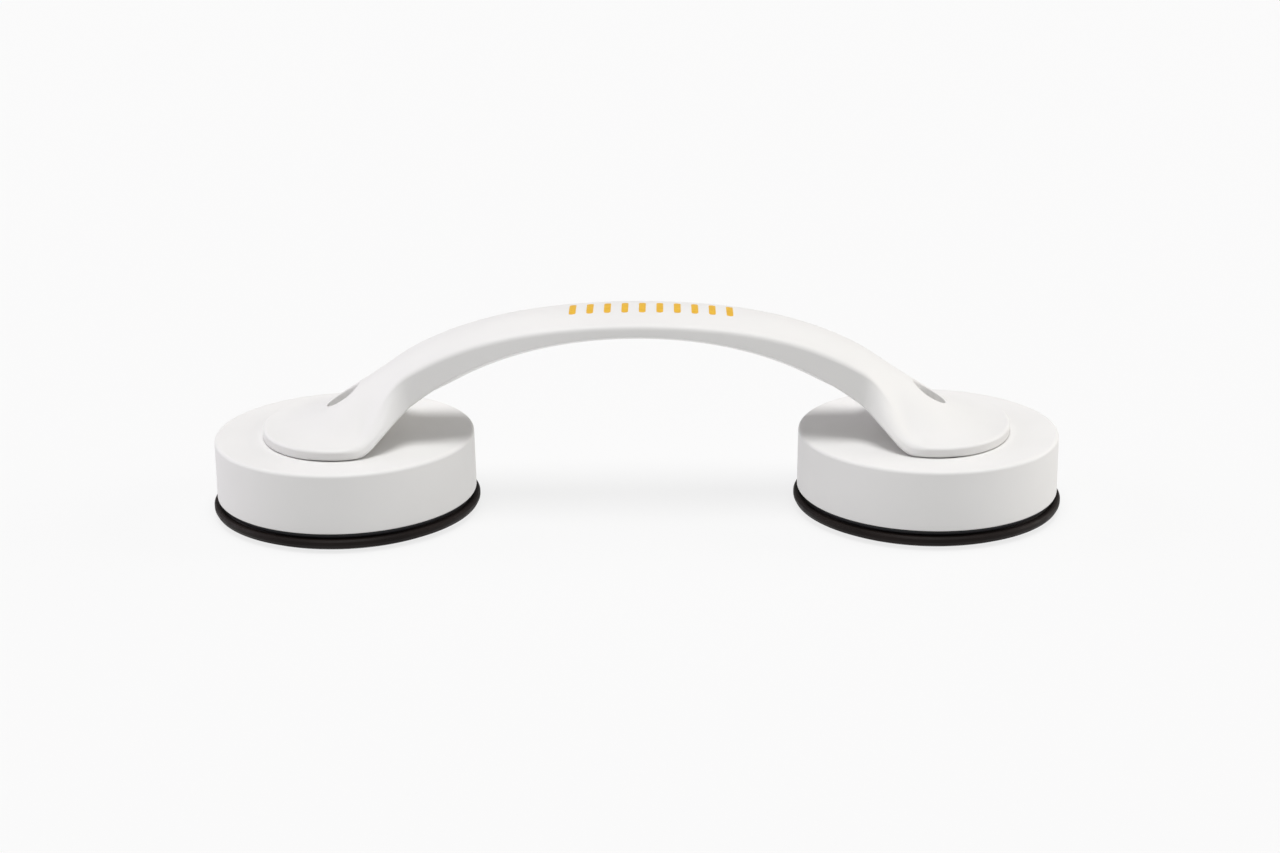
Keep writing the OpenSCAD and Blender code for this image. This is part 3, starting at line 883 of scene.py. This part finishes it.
def make_mark(bm, centre):
    """One round-ended bar of paint across the crown."""
    end_r = MARK_WIDTH / 2
    strips = []
    for i in range(MARK_STEPS + 1):
        across = -math.cos(math.pi * i / MARK_STEPS) * MARK_LENGTH / 2
        into_end = max(abs(across) - MARK_LENGTH / 2 + end_r, 0)
        half = math.sqrt(max(end_r**2 - into_end**2, 0))
        strips.append([(centre + half * k / MARK_COLUMNS, MARK_Y + across)
                       for k in range(-MARK_COLUMNS, MARK_COLUMNS + 1)])
    tops = [[bm.verts.new((x, y, surface_z(x, y) + MARK_RISE)) for x, y in s] for s in strips]
    lows = [[bm.verts.new((x, y, surface_z(x, y) - MARK_SINK)) for x, y in s] for s in strips]
    for rows in (tops, lows):
        for a, b in zip(rows, rows[1:]):
            bridge(bm, a, b, closed=False)
    for j in (0, -1):
        bridge(bm, [r[j] for r in tops], [r[j] for r in lows], closed=False)


def make_marks():
    """A plain row of marks in place of print."""
    bm = bmesh.new()
    for i in range(MARK_COUNT):
        make_mark(bm, mix(MARK_FROM, MARK_TO, (i + 0.5) / MARK_COUNT))
    return new_piece("handle_print", bm)


# ---- materials ----
# A noise's scale is in waves per metre.

# The noise values that a spread or a tint runs between
NOISE_LOW = 0.3
NOISE_HIGH = 0.7
# Specular levels
PLASTIC_GLOSS = 0.35
RUBBER_GLOSS = 0.12


def node_material(name):
    """A new material, with its node tree, its shader and the object's own coordinates."""
    made = bpy.data.materials.new(name)
    made.use_nodes = True
    tree = made.node_tree
    shader = tree.nodes["Principled BSDF"]
    place = tree.nodes.new("ShaderNodeTexCoord").outputs["Object"]
    return made, tree, shader, place


def noise(tree, place, scale, detail=3.0, rough=0.55):
    node = tree.nodes.new("ShaderNodeTexNoise")
    node.inputs["Scale"].default_value = scale
    node.inputs["Detail"].default_value = detail
    node.inputs["Roughness"].default_value = rough
    tree.links.new(place, node.inputs["Vector"])
    return node.outputs["Fac"]


def spread(tree, value, low, high):
    """Maps a noise onto the range low to high."""
    node = tree.nodes.new("ShaderNodeMapRange")
    node.inputs["From Min"].default_value = NOISE_LOW
    node.inputs["From Max"].default_value = NOISE_HIGH
    node.inputs["To Min"].default_value = low
    node.inputs["To Max"].default_value = high
    tree.links.new(value, node.inputs["Value"])
    return node.outputs["Result"]


def tint(tree, value, first, second):
    """Maps a noise onto the colours from first to second."""
    ramp = tree.nodes.new("ShaderNodeValToRGB")
    ramp.color_ramp.elements[0].position = NOISE_LOW
    ramp.color_ramp.elements[1].position = NOISE_HIGH
    ramp.color_ramp.elements[0].color = (*first, 1)
    ramp.color_ramp.elements[1].color = (*second, 1)
    tree.links.new(value, ramp.inputs["Fac"])
    return ramp.outputs["Color"]


def bump(tree, shader, layers):
    """Stacks bump layers of (height, strength, distance) on the shader."""
    last = None
    for height, strength, distance in layers:
        node = tree.nodes.new("ShaderNodeBump")
        node.inputs["Strength"].default_value = strength
        node.inputs["Distance"].default_value = distance
        tree.links.new(height, node.inputs["Height"])
        if last:
            tree.links.new(last, node.inputs["Normal"])
        last = node.outputs["Normal"]
    tree.links.new(last, shader.inputs["Normal"])


def moulded_plastic(name, first, second, rough, grain, grain_bump):
    """Moulded plastic: faint mottling, uneven gloss, long flow waves and a fine skin texture."""
    made, tree, shader, place = node_material(name)
    mottling = noise(tree, place, scale=22)
    gloss = noise(tree, place, scale=160)
    flow = noise(tree, place, scale=70, detail=1.0)
    skin_grain = noise(tree, place, scale=grain, detail=2.0)
    tree.links.new(tint(tree, mottling, first, second), shader.inputs["Base Color"])
    tree.links.new(spread(tree, gloss, *rough), shader.inputs["Roughness"])
    shader.inputs["Specular IOR Level"].default_value = PLASTIC_GLOSS
    bump(tree, shader, [(flow, 0.1, 0.12 * MM), (skin_grain, grain_bump, 0.02 * MM)])
    return made


def rubber(name, first, second, rough):
    """Moulded rubber with a soft bloom, handling marks, shallow waves and fine pores."""
    made, tree, shader, place = node_material(name)
    bloom = noise(tree, place, scale=60, detail=5.0)
    handling = noise(tree, place, scale=240, detail=4.0)
    waves = noise(tree, place, scale=120, detail=2.0)
    pores = noise(tree, place, scale=2600, detail=3.0)
    tree.links.new(tint(tree, bloom, first, second), shader.inputs["Base Color"])
    tree.links.new(spread(tree, handling, *rough), shader.inputs["Roughness"])
    shader.inputs["Specular IOR Level"].default_value = RUBBER_GLOSS
    bump(tree, shader, [(waves, 0.15, 0.1 * MM), (pores, 0.25, 0.02 * MM)])
    return made


def metal(name, first, second, rough, squeeze):
    """Turned or drawn metal: faint stains, and fine lines made by squeezing a noise along an axis."""
    made, tree, shader, place = node_material(name)
    squeezed = tree.nodes.new("ShaderNodeMapping")
    squeezed.inputs["Scale"].default_value = squeeze
    tree.links.new(place, squeezed.inputs["Vector"])
    lines = noise(tree, squeezed.outputs["Vector"], scale=900, detail=2.0)
    stains = noise(tree, place, scale=300, detail=4.0)
    tree.links.new(tint(tree, stains, first, second), shader.inputs["Base Color"])
    tree.links.new(spread(tree, lines, *rough), shader.inputs["Roughness"])
    shader.inputs["Metallic"].default_value = 1.0
    bump(tree, shader, [(lines, 0.2, 0.01 * MM)])
    return made


def paint(name, first, second, rough):
    """Pad-printed ink: a thin even film with pinholes."""
    made, tree, shader, place = node_material(name)
    shade = noise(tree, place, scale=500, detail=3.0)
    gloss = noise(tree, place, scale=900, detail=2.0)
    pinholes = noise(tree, place, scale=3000, detail=2.0)
    tree.links.new(tint(tree, shade, first, second), shader.inputs["Base Color"])
    tree.links.new(spread(tree, gloss, *rough), shader.inputs["Roughness"])
    bump(tree, shader, [(pinholes, 0.2, 0.01 * MM)])
    return made


# By material slot: two colours, the range of roughness, and the plastic's grain or the metal's squeeze
MATERIALS = {
    "white_plastic": moulded_plastic(
        "white_abs", (0.735, 0.73, 0.72), (0.765, 0.76, 0.75), (0.46, 0.56),
        grain=1300, grain_bump=0.12),
    "cover_plastic": moulded_plastic(
        "cover_abs", (0.76, 0.755, 0.74), (0.80, 0.795, 0.78), (0.45, 0.55),
        grain=1900, grain_bump=0.35),
    "black_plastic": moulded_plastic(
        "slip_acetal", (0.012, 0.012, 0.014), (0.022, 0.022, 0.025), (0.35, 0.45),
        grain=1500, grain_bump=0.2),
    "cam_plastic": moulded_plastic(
        "cam_acetal", (0.05, 0.052, 0.056), (0.075, 0.077, 0.082), (0.32, 0.42),
        grain=1500, grain_bump=0.2),
    "core_plastic": moulded_plastic(
        "core_nylon", (0.30, 0.31, 0.32), (0.36, 0.37, 0.38), (0.4, 0.5),
        grain=1500, grain_bump=0.25),
    "nylon": moulded_plastic(
        "washer_nylon", (0.70, 0.66, 0.56), (0.76, 0.72, 0.63), (0.36, 0.46),
        grain=1700, grain_bump=0.2),
    "black_rubber": rubber("disc_rubber", (0.006, 0.004, 0.0035), (0.013, 0.009, 0.008), (0.42, 0.6)),
    "zinc": metal("stud_zinc", (0.42, 0.43, 0.45), (0.55, 0.56, 0.58), (0.34, 0.5), (1, 1, 6)),
    "steel": metal("stainless", (0.62, 0.61, 0.59), (0.72, 0.71, 0.69), (0.29, 0.4), (1, 1, 8)),
    "spring_steel": metal("spring_wire", (0.50, 0.49, 0.48), (0.62, 0.61, 0.60), (0.29, 0.4), (1, 1, 3)),
}
PRINT = paint("gold_ink", (0.70, 0.40, 0.02), (0.78, 0.46, 0.03), (0.4, 0.52))


def dress(piece, slot):
    """Gives a new piece the material of a slot."""
    piece.data.materials.clear()
    piece.data.materials.append(MATERIALS[slot])


def dress_cad_nodes():
    """Gives every CAD node the material of its slot in the record."""
    for part in frame["record"]["subparts"]:
        node = frame["nodes"][part["node"]]
        node.data.materials.clear()
        node.data.materials.append(MATERIALS[part["material_slot"]])


# ---- assembly ----


def stand_for(piece, slot, body, *nodes):
    """Dresses a piece, rides it on its body and hides the CAD nodes that it stands for."""
    dress(piece, slot)
    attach(piece, body)
    if nodes:
        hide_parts(*nodes)


def assemble_handle():
    stand_for(make_handle_shell(), "white_plastic", "handle", "handle_shell")
    stand_for(make_lower_cover(), "cover_plastic", "handle", "lower_cover")
    first_screw, *other_screws = make_cover_screws()
    stand_for(first_screw, "steel", "handle", "cover_screws")
    for piece in other_screws:
        stand_for(piece, "steel", "handle")
    marks = make_marks()
    marks.data.materials.append(PRINT)
    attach(marks, "handle")


def assemble_cup(name, side):
    stand_for(make_housing(name, side), "white_plastic", name + "_turning_cup", name + "_housing")
    stand_for(make_slip_ring(name, side), "black_plastic", "handle", name + "_slip_ring")
    stand_for(make_centre_screw(name, side), "steel", "handle", name + "_centre_screw")
    rim = make_suction_rim(name, side)
    stand_for(rim, "black_rubber", "handle", name + "_suction_disc")
    middle = make_diaphragm(name, side)
    dress(middle, "black_rubber")
    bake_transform(middle)
    spring = make_spring(name, side)
    stand_for(spring, "spring_steel", "handle", name + "_return_spring")
    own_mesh(spring)


# ---- camera, floor and light ----

# The point that the camera circles, then its place and its turn away from that point
AIM = Vector((0, 0, 19.78 * MM))
CAMERA_DISTANCE = 0.8005
CAMERA_ELEVATION = math.radians(19.48)
CAMERA_YAW = math.radians(0.82)
CAMERA_PAN = math.radians(-0.10)
CAMERA_TILT = math.radians(0.56)
CAMERA_ROLL = math.radians(-0.59)
LENS = 65.42
SENSOR_WIDTH = 36


def make_camera():
    away = Vector((math.cos(CAMERA_ELEVATION) * math.sin(CAMERA_YAW),
                   -math.cos(CAMERA_ELEVATION) * math.cos(CAMERA_YAW), math.sin(CAMERA_ELEVATION)))
    lens = bpy.data.cameras.new("camera")
    lens.lens = LENS
    lens.sensor_width = SENSOR_WIDTH
    camera = bpy.data.objects.new("camera", lens)
    camera.location = AIM + away * CAMERA_DISTANCE
    turn = away.to_track_quat("Z", "Y")
    turn = turn @ Quaternion((0, 1, 0), CAMERA_PAN)
    turn = turn @ Quaternion((1, 0, 0), CAMERA_TILT)
    turn = turn @ Quaternion((0, 0, 1), CAMERA_ROLL)
    camera.rotation_mode = "QUATERNION"
    camera.rotation_quaternion = turn
    bpy.context.scene.collection.objects.link(camera)
    bpy.context.scene.camera = camera


# The floor lies just below the discs, and glows a little to stay pale under a soft shadow
FLOOR_HALF = 6
FLOOR_DROP = 0.05 * MM
FLOOR_GREY = 0.13
FLOOR_GLOW = 0.79


def make_floor():
    bm = bmesh.new()
    bmesh.ops.create_grid(bm, x_segments=1, y_segments=1, size=FLOOR_HALF)
    mesh = bpy.data.meshes.new("floor")
    bm.to_mesh(mesh)
    bm.free()
    floor = bpy.data.objects.new("floor", mesh)
    bpy.context.scene.collection.objects.link(floor)
    floor.location.z = -FLOOR_DROP
    made, _, shader, _ = node_material("floor_white")
    shader.inputs["Base Color"].default_value = (FLOOR_GREY, FLOOR_GREY, FLOOR_GREY, 1)
    shader.inputs["Emission Color"].default_value = (1, 1, 1, 1)
    shader.inputs["Emission Strength"].default_value = FLOOR_GLOW
    shader.inputs["Roughness"].default_value = 0.9
    shader.inputs["Specular IOR Level"].default_value = 0.1
    mesh.materials.append(made)


def make_world(strength, colour):
    world = bpy.data.worlds.new("studio")
    world.use_nodes = True
    world.node_tree.nodes["Background"].inputs["Color"].default_value = (*colour, 1)
    world.node_tree.nodes["Background"].inputs["Strength"].default_value = strength
    bpy.context.scene.world = world


def make_sun(name, energy, softness, aim_from, colour=(1, 1, 1)):
    """A sun that shines from the direction aim_from and is softness degrees wide."""
    light = bpy.data.lights.new(name, "SUN")
    light.energy = energy
    light.color = colour
    light.angle = math.radians(softness)
    lamp = bpy.data.objects.new(name, light)
    lamp.rotation_mode = "QUATERNION"
    lamp.rotation_quaternion = Vector(aim_from).to_track_quat("Z", "Y")
    bpy.context.scene.collection.objects.link(lamp)


make_camera()
make_floor()
make_world(strength=0.28, colour=(1, 0.985, 0.985))
make_sun("overhead", energy=2.4, softness=32, aim_from=(0, -0.18, 1))
make_sun("left_fill", energy=0.95, softness=40, aim_from=(-1, 0.2, 0.35), colour=(0.96, 0.91, 1))
make_sun("right_fill", energy=1.25, softness=40, aim_from=(1, 0.2, 0.35), colour=(1, 0.96, 0.91))
bpy.context.scene.view_settings.view_transform = "Standard"

dress_cad_nodes()
assemble_handle()
for side_name, side_sign in SIDES.items():
    assemble_cup(side_name, side_sign)

bpy.context.view_layer.update()
